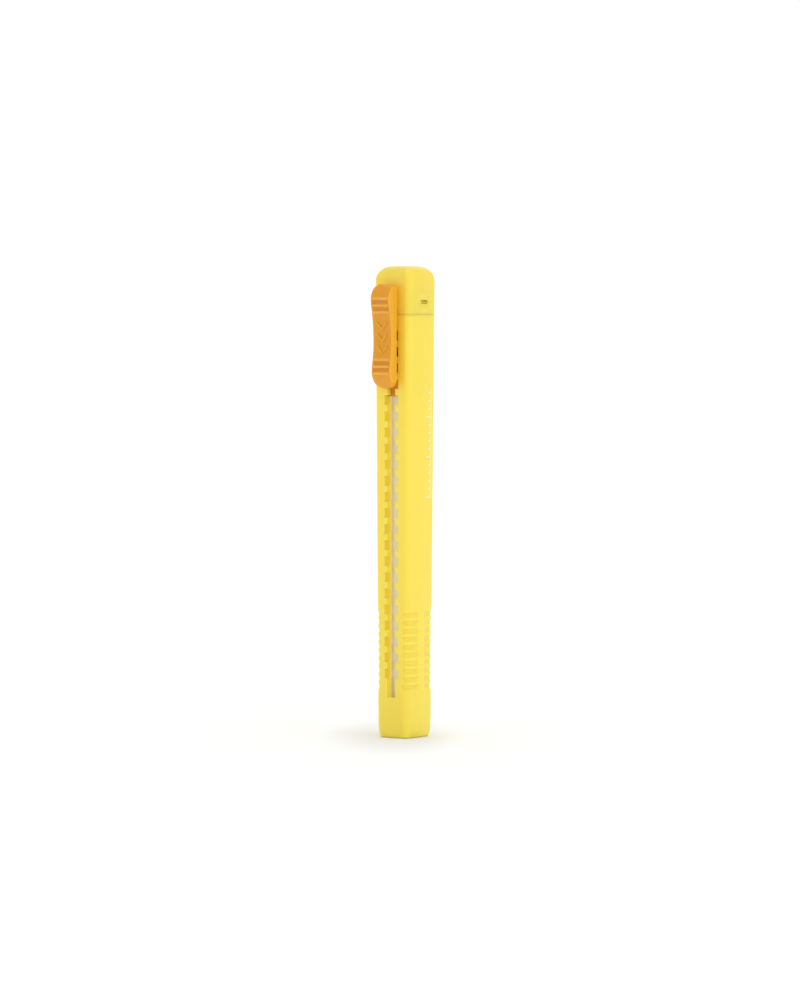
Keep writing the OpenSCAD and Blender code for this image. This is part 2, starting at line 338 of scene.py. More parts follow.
@dataclass(frozen=True)
class PlatePlastic(MouldedPlastic):
    """The thumb plate's plastic: painted highlights on the ridges, painted shade in the fields between them,
    a painted yellow reflection on the side walls, and an underside that glows a little as painted bounce
    light.
    """

    under_from: float = -7.35
    under_to: float = -6.95
    underside_glow: Colour = srgb(150, 88, 2)
    ridge_highlight: Colour = srgb(240, 178, 66)
    field_shade: Colour = srgb(206, 132, 28)
    side: Colour = srgb(232, 176, 14)
    side_x: float = 2.86
    ridges: tuple[float, ...] = (92.705, 108.205)
    pitch: float = 1.7
    ridge_half: float = 0.36
    reach: float = 2.5
    face_y: float = -8.9

    def shade(self) -> Shader:
        """Adds the painted ridge highlights and field shade, the painted side reflection and the painted
        glow of the underside to the plastic.
        """
        s = super().shade()
        base = s.base()
        x, y, z = s.axes()
        patchy = s.noise(700, 3).step(0.2, 0.7) * 0.3 + 0.4
        front = (y < self.face_y * MM) * (abs(x) < self.reach * MM)
        for lowest in self.ridges:
            height = z / MM - lowest
            group = (height > -self.ridge_half) * (height < 2 * self.pitch + self.ridge_half) * front
            away = abs((height + self.pitch / 2) % self.pitch - self.pitch / 2)
            off = away.step(self.ridge_half - 0.1, self.ridge_half + 0.1)
            # Painted shade in the fields between the ridges, then painted highlights on the ridge tops.
            base = s.mix(off * group * patchy, base, self.field_shade)
            base = s.mix((1.0 - off) * group * patchy, base, self.ridge_highlight)
        # Painted reflection: the side walls are tinted yellower for the barrel's yellow light on them.
        base = s.mix(abs(x / MM).step(self.side_x - 0.08, self.side_x) * 0.7, base, self.side)
        # Painted light: the underside glows orange in place of light bounced between the plate and the
        # barrel.
        under = (y > self.under_from * MM) * (y < self.under_to * MM)
        s.set(Base_Color=base)
        s.glow(under, self.underside_glow)
        return s


@dataclass(frozen=True)
class BarrelPlastic(MouldedPlastic):
    """The barrel's plastic: a printed scale outside, painted shade in the grip grooves, and a painted glow
    inside in place of the light that shines through the walls.
    """

    scale: TickScale = TickScale()
    groove_shade: GroovePaintedShade = GroovePaintedShade()
    inside: Colour = srgb(104, 89, 14)
    hollow_half: float = 4.25
    face_y: float = 5.0
    wall_y: float = -4.1
    slot_half: float = 1.5
    deep_light: float = 0.3

    def shade(self) -> Shader:
        """Adds the painted groove shade, the ink and a painted inside glow to the plastic, the glow
        brightest on the slot's own walls.
        """
        s = super().shade()
        base = s.base()
        # Painted shade: the grip grooves are darkened towards the plastic's deep tone.
        base = s.mix(self.groove_shade.mask(s), base, scaled(self.deep, 0.6))
        worn = s.noise(4200, 2).step(0.3, 0.5) * 0.25 + 0.72
        x, y, z = s.axes()
        # Painted light: the hollow's faces glow golden, brightest on the slot's own walls, in place of light
        # let in through the translucent walls.
        hollow = (abs(x) < self.hollow_half * MM) * (y < self.hollow_half * MM) * (z > 0.5 * MM)
        hollow = hollow * (y / MM).step(-self.face_y - 0.5, -self.face_y + 0.3)
        in_wall = y < self.wall_y * MM
        in_slot = abs(x) < self.slot_half * MM
        hollow = hollow * (in_wall * in_slot * (1.0 - self.deep_light) + self.deep_light)
        s.set(Base_Color=s.mix(self.scale.mask(s) * worn, base, self.scale.ink))
        s.glow(hollow, self.inside)
        return s


@dataclass(frozen=True)
class EraserVinyl:
    """Matt off-white vinyl with a fine powdery skin and a few grey rub marks."""

    name: str
    colour: Colour
    warm: Colour
    grey: Colour
    thrown_light_glow: Colour = srgb(162, 166, 130)
    side_from: float = 1.1
    side_to: float = 2.7
    roughness: float = 0.62
    depth: float = 1.8
    relief: float = 0.02

    def material(self) -> bpy.types.Material:
        """Writes the finish, with a painted glow on the eraser's sides in place of the yellow light that the
        barrel's walls throw on them.
        """
        s = Shader(self.name)
        x, _, _ = s.axes()
        sides = abs(x / MM).step(self.side_from, self.side_to)
        clouds = s.noise(300, 3)
        rubs = s.noise(700, 4, (1, 1, 0.3)).step(0.6, 0.78) * 0.22
        powder = s.noise(9000, 2)
        base = s.mix(clouds, self.colour, self.warm)
        s.set(Base_Color=s.mix(rubs, base, self.grey), Roughness=self.roughness + powder * 0.15,
              Subsurface_Weight=0.8, Subsurface_Radius=(1.0, 0.85, 0.6),
              Subsurface_Scale=self.depth * MM, Specular_IOR_Level=0.35,
              Normal=s.bump(powder + clouds * 2.0, self.relief * MM))
        # Painted light: the sides glow yellow-grey for the light that the barrel's walls throw on them.
        s.glow(sides, self.thrown_light_glow)
        return s.material


@dataclass(frozen=True)
class StudioPaper:
    """The plain pale sheet under the object, made to glow evenly white but for a small soft painted shade at
    its foot, shifted left and stretched in depth.
    """

    name: str = "studio_paper"
    colour: Colour = (0.9, 0.9, 0.89)
    azimuth: float = 36.8
    shade_left: float = 0.003
    shade_depth: float = 0.35
    shade_edge: tuple[float, float] = (0.005, 0.022)
    near_lift: float = 0.12
    far_edge: tuple[float, float] = (0.022, 0.2)
    far_lift: float = 0.17

    def material(self) -> bpy.types.Material:
        """Writes the finish."""
        s = Shader(self.name)
        grain = s.noise(900, 3)
        x, y, _ = s.axes()
        turn = math.radians(self.azimuth)
        across = x * math.cos(turn) + y * math.sin(turn) + self.shade_left
        along = (y * math.cos(turn) - x * math.sin(turn)) * self.shade_depth
        away = s.node("ShaderNodeMath", {"operation": "SQRT"}, {0: across * across + along * along})
        # Painted shadow: the glow lift is left out in a soft patch at the object's foot, so the shade there
        # is partly painted.
        lift = away.step(*self.shade_edge) * self.near_lift + away.step(*self.far_edge) * self.far_lift
        s.set(Base_Color=s.mix(grain * 0.1, self.colour, scaled(self.colour, 0.97)),
              Roughness=0.8 + grain * 0.08, Specular_IOR_Level=0.2, Emission_Strength=1.0,
              Emission_Color=lift)
        return s.material


class Finish(Enum):
    """The finishes that the pieces take, each with its material slot in the record."""

    BARREL = "yellow_plastic", BarrelPlastic("barrel_yellow", srgb(246, 221, 80), srgb(242, 211, 64))
    CAP = "yellow_plastic", MouldedPlastic("cap_yellow", srgb(245, 217, 78), srgb(241, 207, 62))
    PLATE = "orange_plastic", PlatePlastic("plate_orange", srgb(223, 157, 10), srgb(215, 144, 6),
                                           roughness=0.36, glow_radius=(1.0, 0.5, 0.1), wear=0.8)
    # Painted shade: the holder and the lock arm take a darker copy of the orange plastic, as they sit in
    # shade inside the barrel.
    INNER = "orange_plastic", MouldedPlastic("inner_orange_shaded", srgb(202, 140, 30), srgb(190, 126, 20),
                                             roughness=0.4, glow=0.3, glow_depth=1.0, wear=0.3)
    ERASER = "eraser_vinyl", EraserVinyl("eraser_white", srgb(238, 234, 212), srgb(232, 226, 198),
                                         srgb(150, 146, 138))

    def material(self) -> bpy.types.Material:
        """The finish's material, made once."""
        recipe = self.value[1]
        return bpy.data.materials.get(recipe.name) or recipe.material()

    @property
    def slot(self) -> str:
        """The record's material slot."""
        return self.value[0]


# Meshes.

def from_loops(name: str, loops: Sequence[Loop], ring: bool = False) -> bpy.types.Object:
    """Skins a row of closed loops that have the same number of points.

    Args:
        name: the object's name.
        loops: the loops, in millimetres.
        ring: True to join the last loop to the first; else both ends are closed with a face.

    Returns:
        A closed object at the origin.
    """
    bm = bmesh.new()
    rows = [[bm.verts.new(Vector(p) * MM) for p in loop] for loop in loops]
    count = len(rows[0])
    pairs = list(zip(rows, rows[1:])) + ([(rows[-1], rows[0])] if ring else [])
    for low, high in pairs:
        for i in range(count):
            j = (i + 1) % count
            bm.faces.new((low[i], low[j], high[j], high[i]))
    if not ring:
        bm.faces.new(list(reversed(rows[0])))
        bm.faces.new(rows[-1])
    bmesh.ops.recalc_face_normals(bm, faces=bm.faces)
    return from_bmesh(name, bm)


def from_bmesh(name: str, bm: bmesh.types.BMesh) -> bpy.types.Object:
    """Turns a working mesh into an object in the scene."""
    mesh = bpy.data.meshes.new(name)
    bm.to_mesh(mesh)
    bm.free()
    made = bpy.data.objects.new(name, mesh)
    bpy.context.scene.collection.objects.link(made)
    return made


def from_node(name: str, node: str) -> bpy.types.Object:
    """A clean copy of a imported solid: points joined and flat areas made one face."""
    bm = bmesh.new()
    bm.from_mesh(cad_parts[node].data)
    bmesh.ops.remove_doubles(bm, verts=bm.verts, dist=1e-6)
    bmesh.ops.dissolve_limit(bm, angle_limit=math.radians(0.8), verts=bm.verts, edges=bm.edges)
    return from_bmesh(name, bm)


@contextmanager
def edited(made: bpy.types.Object) -> Iterator[bmesh.types.BMesh]:
    """Opens an object's mesh for editing and writes it back."""
    bm = bmesh.new()
    bm.from_mesh(made.data)
    yield bm
    bm.to_mesh(made.data)
    bm.free()


def cut_plane(bm: bmesh.types.BMesh, place_at: Sequence[float], normal: Sequence[float],
              clear: bool = False) -> None:
    """Cuts a mesh along a plane, and clears what lies past it if asked to."""
    geometry = [*bm.verts, *bm.edges, *bm.faces]
    bmesh.ops.bisect_plane(bm, geom=geometry, plane_co=place_at, plane_no=normal, clear_outer=clear)


def smooth(made: bpy.types.Object, sharp: float) -> None:
    """Shades an object smooth but for the edges sharper than an angle in degrees."""
    made.data.shade_smooth()
    made.data.set_sharp_from_angle(angle=math.radians(sharp))


def soften(made: bpy.types.Object, width: float, by_weight: bool = False) -> None:
    """Rounds the sharp edges a little and lets flat faces stay flat.

    Args:
        made: the object.
        width: the rounding, in millimetres.
        by_weight: True to round only the edges that carry a bevel weight.
    """
    bevel = made.modifiers.new("soft_edges", "BEVEL")
    bevel.width = width * MM
    bevel.segments = 2
    bevel.limit_method = "WEIGHT" if by_weight else "ANGLE"
    bevel.angle_limit = math.radians(BEVEL_FROM)
    bevel.use_clamp_overlap = True
    bevel.miter_outer = "MITER_ARC"
    smooth(made, SHARP)
    normals = made.modifiers.new("flat_faces", "WEIGHTED_NORMAL")
    normals.keep_sharp = True


def keep_result(made: bpy.types.Object, modifier: bpy.types.Modifier) -> None:
    """Makes a modifier's result the object's plain mesh, and removes the modifier."""
    graph = bpy.context.evaluated_depsgraph_get()
    mesh = bpy.data.meshes.new_from_object(made.evaluated_get(graph), depsgraph=graph)
    made.modifiers.remove(modifier)
    made.data = mesh


def merge(made: bpy.types.Object, other: bpy.types.Object) -> None:
    """Makes another closed object a part of this one's surface, and removes the other."""
    with edited(other) as bm:
        bmesh.ops.recalc_face_normals(bm, faces=bm.faces)
    union = made.modifiers.new("merge", "BOOLEAN")
    union.operation = "UNION"
    union.solver = "EXACT"
    union.object = other
    keep_result(made, union)
    bpy.data.objects.remove(other)


def dress(made: bpy.types.Object, finish: Finish, *nodes: str) -> None:
    """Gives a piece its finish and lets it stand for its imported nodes."""
    made.data.materials.clear()
    made.data.materials.append(finish.material())
    for polygon in made.data.polygons:
        polygon.material_index = 0
    if nodes:
        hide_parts(*nodes)


def place(made: bpy.types.Object, finish: Finish, body: str, *nodes: str) -> bpy.types.Object:
    """Dresses a piece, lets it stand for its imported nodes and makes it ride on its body.

    Args:
        made: the piece.
        finish: its finish.
        body: the body it moves with.
        nodes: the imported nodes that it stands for.

    Returns:
        The piece.
    """
    dress(made, finish, *nodes)
    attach(made, body)
    log.info("%s rides on %s, %d faces", made.name, body, len(made.data.polygons))
    return made


# Geometry node trees.

class Recipe:
    """A Geometry Nodes tree with named inputs, used once and turned into a plain mesh."""

    def __init__(self, name: str) -> None:
        """Starts a tree that takes and gives a mesh."""
        self.tree = bpy.data.node_groups.new(name, "GeometryNodeTree")
        self.sockets: dict[str, str] = {}
        self._socket("Geometry", "INPUT", "NodeSocketGeometry")
        self._socket("Geometry", "OUTPUT", "NodeSocketGeometry")
        self.start = self.tree.nodes.new("NodeGroupInput")
        self.end = self.tree.nodes.new("NodeGroupOutput")

    def _socket(self, name: str, side: str, kind: str) -> bpy.types.NodeTreeInterfaceItem:
        """Adds one socket to the tree's face."""
        return self.tree.interface.new_socket(name=name, in_out=side, socket_type=kind)

    def number(self, name: str, whole: bool = False) -> bpy.types.NodeSocket:
        """Adds a named number input and gives its socket inside the tree."""
        item = self._socket(name, "INPUT", "NodeSocketInt" if whole else "NodeSocketFloat")
        self.sockets[name] = item.identifier
        return self.start.outputs[name]

    def numbers(self, *names: str) -> list[bpy.types.NodeSocket]:
        """Adds several named number inputs."""
        return [self.number(name) for name in names]

    def node(self, kind: str, settings: Optional[dict] = None, **inputs: object) -> bpy.types.Node:
        """Adds a node; an input's name has underscores for spaces, and i0, i1 stand for numbers."""
        named = {int(key[1:]) if key[0] == "i" and key[1:].isdigit() else key.replace("_", " "): value
                 for key, value in inputs.items()}
        return add_node(self.tree, kind, settings or {}, named)

    def vector(self, x: object = 0.0, y: object = 0.0, z: object = 0.0) -> bpy.types.Node:
        """A vector from three numbers or sockets."""
        return self.node("ShaderNodeCombineXYZ", i0=x, i1=y, i2=z)

    def maths(self, operation: str, a: object, b: object = 0.0) -> bpy.types.Node:
        """One Math node."""
        return self.node("ShaderNodeMath", {"operation": operation}, i0=a, i1=b)

    def finish(self, geometry: bpy.types.Node, material: bpy.types.Material) -> None:
        """Ends the tree in Realize Instances and Set Material."""
        whole = self.node("GeometryNodeRealizeInstances", i0=geometry)
        dressed = self.node("GeometryNodeSetMaterial", Geometry=whole, Material=material)
        self.tree.links.new(dressed.outputs[0], self.end.inputs[0])

    def apply(self, made: bpy.types.Object, **values: float) -> bpy.types.Object:
        """Runs the tree on an object and keeps the result as its plain mesh.

        Args:
            made: the object whose mesh goes in.
            values: the inputs, as counts or lengths in millimetres; an underscore stands for a space.

        Returns:
            The same object with the new mesh.
        """
        modifier = made.modifiers.new(self.tree.name, "NODES")
        modifier.node_group = self.tree
        for name, value in values.items():
            key = self.sockets[name.replace("_", " ")]
            modifier[key] = value if isinstance(value, int) else value * MM
        keep_result(made, modifier)
        return made


def notch_recipe(material: bpy.types.Material) -> Recipe:
    """Cuts a slot and a row of equal notches through the front of a mesh."""
    r = Recipe("slot_and_notches")
    count = r.number("Count", whole=True)
    pitch, lowest, width, height = r.numbers("Pitch", "Lowest", "Notch Width", "Notch Height")
    slot_width, slot_low, slot_high = r.numbers("Slot Width", "Slot Low", "Slot High")
    front, depth = r.numbers("Front", "Depth")
    middle_y = r.maths("MULTIPLY", front, -1.0)
    middles = r.node("GeometryNodeMeshLine", {"mode": "OFFSET"}, Count=count,
                     Start_Location=r.vector(0.0, middle_y, lowest), Offset=r.vector(0.0, 0.0, pitch))
    notch = r.node("GeometryNodeMeshCube", Size=r.vector(width, depth, height))
    notches = r.node("GeometryNodeInstanceOnPoints", Points=middles, Instance=notch)
    slot = r.node("GeometryNodeMeshCube",
                  Size=r.vector(slot_width, depth, r.maths("SUBTRACT", slot_high, slot_low)))
    slot_z = r.maths("MULTIPLY", r.maths("ADD", slot_high, slot_low), 0.5)
    slot = r.node("GeometryNodeTransform", Geometry=slot, Translation=r.vector(0.0, middle_y, slot_z))
    cutters = r.node("GeometryNodeRealizeInstances", i0=notches)
    both = r.node("GeometryNodeMeshBoolean", {"operation": "UNION", "solver": "EXACT"},
                  Mesh_2=[slot, cutters])
    cut = r.node("GeometryNodeMeshBoolean", {"operation": "DIFFERENCE", "solver": "EXACT"},
                 Mesh_1=r.start.outputs[0], Mesh_2=both)
    r.finish(weigh_edges(r, cut, r.maths("MULTIPLY", width, 0.52), r.maths("MULTIPLY", front, -0.65)),
             material)
    return r


def weigh_edges(r: Recipe, geometry: bpy.types.Node, half: object, front: object) -> bpy.types.Node:
    """Gives a bevel weight to the sharp edges within half of the middle and in front of front."""
    angle = r.node("GeometryNodeInputMeshEdgeAngle")
    spot = r.node("ShaderNodeSeparateXYZ", i0=r.node("GeometryNodeInputPosition"))
    sharp = r.maths("GREATER_THAN", angle.outputs[0], 0.6)
    near = r.maths("LESS_THAN", r.maths("ABSOLUTE", spot.outputs[0]), half)
    ahead = r.maths("LESS_THAN", spot.outputs[1], front)
    weight = r.maths("MULTIPLY", r.maths("MULTIPLY", sharp, near), ahead)
    return r.node("GeometryNodeStoreNamedAttribute", {"data_type": "FLOAT", "domain": "EDGE"},
                  Geometry=geometry, Name="bevel_weight_edge", Value=weight)


def ridge_recipe(material: bpy.types.Material) -> Recipe:
    """Lays a group of equal rounded cross ridges along the straight line that it is given."""
    r = Recipe("cross_ridges")
    count = r.number("Count", whole=True)
    length, radius = r.numbers("Length", "Radius")
    line = r.node("GeometryNodeMeshToCurve", i0=r.start.outputs[0])
    along = r.node("GeometryNodeResampleCurve", Curve=line, Count=count)
    half = r.maths("MULTIPLY", length, 0.5)
    axis = r.node("GeometryNodeCurvePrimitiveLine",
                  Start=r.vector(r.maths("MULTIPLY", half, -1.0), 0.0, 0.0), End=r.vector(half, 0.0, 0.0))
    section = r.node("GeometryNodeCurvePrimitiveCircle", {"mode": "RADIUS"}, Resolution=16, Radius=radius)
    bar = r.node("GeometryNodeCurveToMesh", Curve=axis, Profile_Curve=section, Fill_Caps=True)
    bars = r.node("GeometryNodeInstanceOnPoints", Points=along, Instance=bar)
    r.finish(bars, material)
    return r


# The outside shape that the barrel and the cap share.

@dataclass(frozen=True)
class Housing:
    """The tapering four sided outside of the stick, in millimetres."""

    length: float = 107.6
    front: float = 5.58
    low_width: float = 9.4
    high_width: float = 11.1
    low_back: float = 5.7
    high_back: float = 6.2
    ridge: float = 0.4
    ridge_y: float = 0.5
    corner: float = 1.5
    arc_steps: int = 12
    side_stations: tuple[float, ...] = (-0.92, -0.7, -0.6, -0.5, -0.4, -0.34, -0.29, -0.2, -0.1, 0.0,
                                        0.1, 0.2, 0.29, 0.34, 0.4, 0.5, 0.6, 0.7, 0.92)
    face_stations: tuple[float, ...] = (0.0, 0.35, 0.7)

    def half_width(self, z: float) -> float:
        """Half of the width at the front and back corners."""
        return blend(self.low_width, self.high_width, z / self.length) / 2

    def back(self, z: float) -> float:
        """How far back the back face lies."""
        return blend(self.low_back, self.high_back, z / self.length)

    def side_x(self, y: float, z: float, inset: float = 0.0) -> float:
        """How far out the side lies at a place along its depth."""
        w, s = self.half_width(z) - inset, self.half_width(z) + self.ridge - inset
        front, back = self.front - inset, self.back(z) - inset
        if y < self.ridge_y:
            return blend(w, s, (y + front) / (self.ridge_y + front))
        return blend(s, w, (y - self.ridge_y) / (back - self.ridge_y))

    def _corner(self, before: Point2, corner: Point2, after: Point2, radius: float) -> list[Point2]:
        """Points of the arc that rounds one corner."""
        b = Vector(corner)
        u, v = (Vector(before) - b).normalized(), (Vector(after) - b).normalized()
        half = math.acos(max(-1.0, min(1.0, u.dot(v)))) / 2
        middle = b + (u + v).normalized() * radius / math.sin(half)
        start, end = b + u * radius / math.tan(half) - middle, b + v * radius / math.tan(half) - middle
        first = math.atan2(start.y, start.x)
        turn = (math.atan2(end.y, end.x) - first + math.pi) % (2 * math.pi) - math.pi
        return [(middle.x + radius * math.cos(first + turn * i / self.arc_steps),
                 middle.y + radius * math.sin(first + turn * i / self.arc_steps))
                for i in range(self.arc_steps + 1)]

    def half(self, z: float, inset: float = 0.0) -> list[Point2]:
        """The right half of the outline from the middle of the front to the middle of the back."""
        w, s = self.half_width(z) - inset, self.half_width(z) + self.ridge - inset
        f, b = self.front - inset, self.back(z) - inset
        r = max(0.2, self.corner - inset / 3)
        front_arc = self._corner((0, -f), (w, -f), (s, self.ridge_y), r)
        back_arc = self._corner((s, self.ridge_y), (w, b), (0, b), r)
        y0, y1 = front_arc[-1][1], back_arc[0][1]
        side = []
        for u in self.side_stations:
            y = blend(self.ridge_y, y0, -u) if u < 0 else blend(self.ridge_y, y1, u)
            side.append((self.side_x(y, z, inset), y))
        front_face = [(t * front_arc[0][0], -f) for t in self.face_stations]
        back_face = [(t * back_arc[-1][0], b) for t in reversed(self.face_stations)]
        return front_face + front_arc + side + back_arc + back_face

    def loop(self, z: float, inset: Union[float, Callable[[Point2], float]] = 0.0) -> Loop:
        """The whole outline at one height.

        Args:
            z: the height.
            inset: how far it is drawn in, or a function that gives this for a point.

        Returns:
            The loop's points.
        """
        if callable(inset):
            plain = self.half(z)
            depths = [inset(p) for p in plain]
            deep = self.half(z, max(depths)) if max(depths) > 0 else plain
            share = [d / max(depths) if max(depths) > 0 else 0.0 for d in depths]
            right = [(blend(a[0], b[0], t), blend(a[1], b[1], t)) for a, b, t in zip(plain, deep, share)]
        else:
            right = self.half(z, inset)
        left = [(-x, y) for x, y in reversed(right[1:-1])]
        return [(x, y, z) for x, y in right + left]


def round_rect_loop(guide: Loop, x: float, front: float, back: float, radius: float, z: float) -> Loop:
    """A rectangle with round corners whose points lie in the same directions as a guide's.

    Args:
        guide: the loop that gives the directions from the axis.
        x: half of the width.
        front: how far forward it reaches.
        back: how far back it reaches.
        radius: the radius of its corners.
        z: its height.

    Returns:
        The loop.
    """
    out: Loop = []
    for gx, gy, _ in guide:
        length = math.hypot(gx, gy)
        u, v = gx / length, gy / length
        reach = min(x / abs(u) if abs(u) > 1e-9 else 1e9,
                    (back if v > 0 else front) / abs(v) if abs(v) > 1e-9 else 1e9)
        cx = math.copysign(x - radius, u)
        cy = (back - radius) if v > 0 else -(front - radius)
        px, py = reach * u, reach * v
        if abs(px) > abs(cx) and abs(py) > abs(cy):
            along = u * cx + v * cy
            off = cx * cx + cy * cy - along * along
            reach = along + math.sqrt(max(0.0, radius * radius - off))
        out.append((reach * u, reach * v, z))
    return out


def circle_loop(guide: Loop, radius: float, z: float) -> Loop:
    """A circle whose points lie in the same directions as a guide's."""
    return [(radius * x / math.hypot(x, y), radius * y / math.hypot(x, y), z) for x, y, _ in guide]


# The pieces.

@dataclass
class Barrel:
    """The long tube with its slot, its notches and its grip grooves."""

    housing: Housing
    lip_r: float = 3.75
    lip_h: float = 0.8
    lip_bevel: tuple[float, float] = (0.12, 0.15)
    cavity_x: float = 4.1
    cavity_front: float = 4.03
    cavity_back: float = 4.1
    cavity_r: float = 1.6
    neck: float = 0.7
    neck_h: float = 6.4
    mouth_inset: float = 0.65
    mouth_round: float = 4.0
    slot_w: float = 2.6
    slot_low: float = 10.3
    slot_past: float = 8.0
    slot_depth: float = 4.0
    notches: int = 22
    notch_pitch: float = 4.09
    notch_w: float = 4.3
    notch_h: float = 2.43
    notch_low: float = 15.15
    grooves: int = 10
    groove_low: float = 13.0
    groove_h: float = 1.25
    groove_depth: float = 0.25
    groove_strip: float = 1.45
    groove_slope: float = 0.14
    strip_y: float = 0.15
    grip_recess: float = 0.07
    grip_zone: tuple[float, float] = (10.0, 40.0)
    rim_inset: float = 0.2
    rim_h: float = 0.3
    seam_inset: float = 0.1
    seam_h: float = 0.12
    rim_loops: tuple[float, ...] = (0.0, 0.12)
    low_loops: tuple[float, ...] = (7.0, 11.4, 11.9)
    high_loops: tuple[float, ...] = (50.0, 65.0, 80.0, 95.0)
    edge: float = 0.13

    def heights(self) -> list[float]:
        """Heights of the outside's loops, with those of the grooves' edges."""
        step, half, slope = self.notch_pitch / 2, self.groove_h / 2, self.groove_slope
        rounded = [self.mouth_round * (1 - math.cos(a)) for a in quarter(10)]
        out = [*self.rim_loops, self.rim_h] + [z for z in rounded if z > 0.35] + [*self.low_loops]
        for i in range(self.grooves):
            middle = self.groove_low + i * step
            out += [middle + d for d in (-half, slope - half, 0.0, half - slope, half)]
        top = self.groove_low + self.grooves * step
        out += [top, top + 0.7, top + 1.6, *self.high_loops]
        return out + [self.housing.length - self.seam_h, self.housing.length]

    def draw_in(self, z: float) -> float:
        """How far the whole outline is drawn in near the mouth and at the seam."""
        t = min(1.0, z / self.mouth_round)
        rounded = self.mouth_inset * (1 - math.sqrt(max(0.0, 1 - (1 - t) ** 2)))
        rim = self.rim_inset * max(0.0, 1 - z / self.rim_h) ** 2
        seam = self.seam_inset * ramp(z, self.housing.length - self.seam_h, self.housing.length)
        return rounded + rim + seam

    def grip(self, point: Point2, z: float) -> float:
        """How deep the grip is at a point: a shallow recess with grooves across it."""
        x, y = abs(point[0]), point[1]
        wide = self.housing.half_width(z)
        off_face = ramp(x, wide - 1.4, wide - 1.05)
        strip = ramp(abs(y - self.strip_y), self.groove_strip - 0.08, self.groove_strip + 0.12)
        step, half = self.notch_pitch / 2, self.groove_h / 2
        bottom = self.groove_low - step / 2
        top = self.groove_low + (self.grooves - 0.5) * step
        zone = ramp(z, bottom - 0.6, bottom) * (1 - ramp(z, top, top + 0.9))
        recess = self.grip_recess * (1.5 if y > self.strip_y else 1.0)
        away = abs((z - bottom) % step - step / 2)
        in_rows = bottom <= z <= top
        groove = 1 - ramp(away, half - self.groove_slope, half) if in_rows else 0.0
        return off_face * strip * zone * blend(recess, self.groove_depth, groove)

    def shell(self) -> bpy.types.Object:
        """The closed tube, before its slot is cut."""
        h = self.housing
        outside = []
        for z in self.heights():
            inset = self.draw_in(z)
            if inset == 0 and self.grip_zone[0] < z < self.grip_zone[1]:
                inset = partial(self.grip, z=z)
            outside.append(h.loop(z, inset))
        guide = h.loop(h.length)
        low = h.loop(0.0, self.draw_in(0.0))
        walls = (self.cavity_x, self.cavity_front, self.cavity_back)
        neck = [wall + self.neck for wall in walls] + [self.cavity_r + self.neck / 2]
        hollow = [*walls, self.cavity_r]
        inside = [
            round_rect_loop(guide, *neck, h.length),
            round_rect_loop(guide, *neck, h.length + self.neck_h),
            round_rect_loop(guide, *hollow, h.length + self.neck_h),
            round_rect_loop(guide, *hollow, self.lip_h),
            circle_loop(guide, self.lip_r, self.lip_h),
            circle_loop(low, self.lip_r, self.lip_bevel[1]),
            circle_loop(low, self.lip_r + self.lip_bevel[0], 0.0),
        ]
        return from_loops("barrel_shell", outside + inside, ring=True)

    def build(self) -> bpy.types.Object:
        """Cuts the slot and its notches, softens their edges and dresses the tube."""
        made = self.shell()
        recipe = notch_recipe(Finish.BARREL.material())
        recipe.apply(made, Count=self.notches, Pitch=self.notch_pitch,
                     Lowest=self.notch_low + self.notch_h / 2, Notch_Width=self.notch_w,
                     Notch_Height=self.notch_h, Slot_Width=self.slot_w, Slot_Low=self.slot_low,
                     Slot_High=self.housing.length + self.slot_past, Front=self.housing.front,
                     Depth=self.slot_depth)
        soften(made, self.edge, by_weight=True)
        return place(made, Finish.BARREL, "barrel", "barrel")


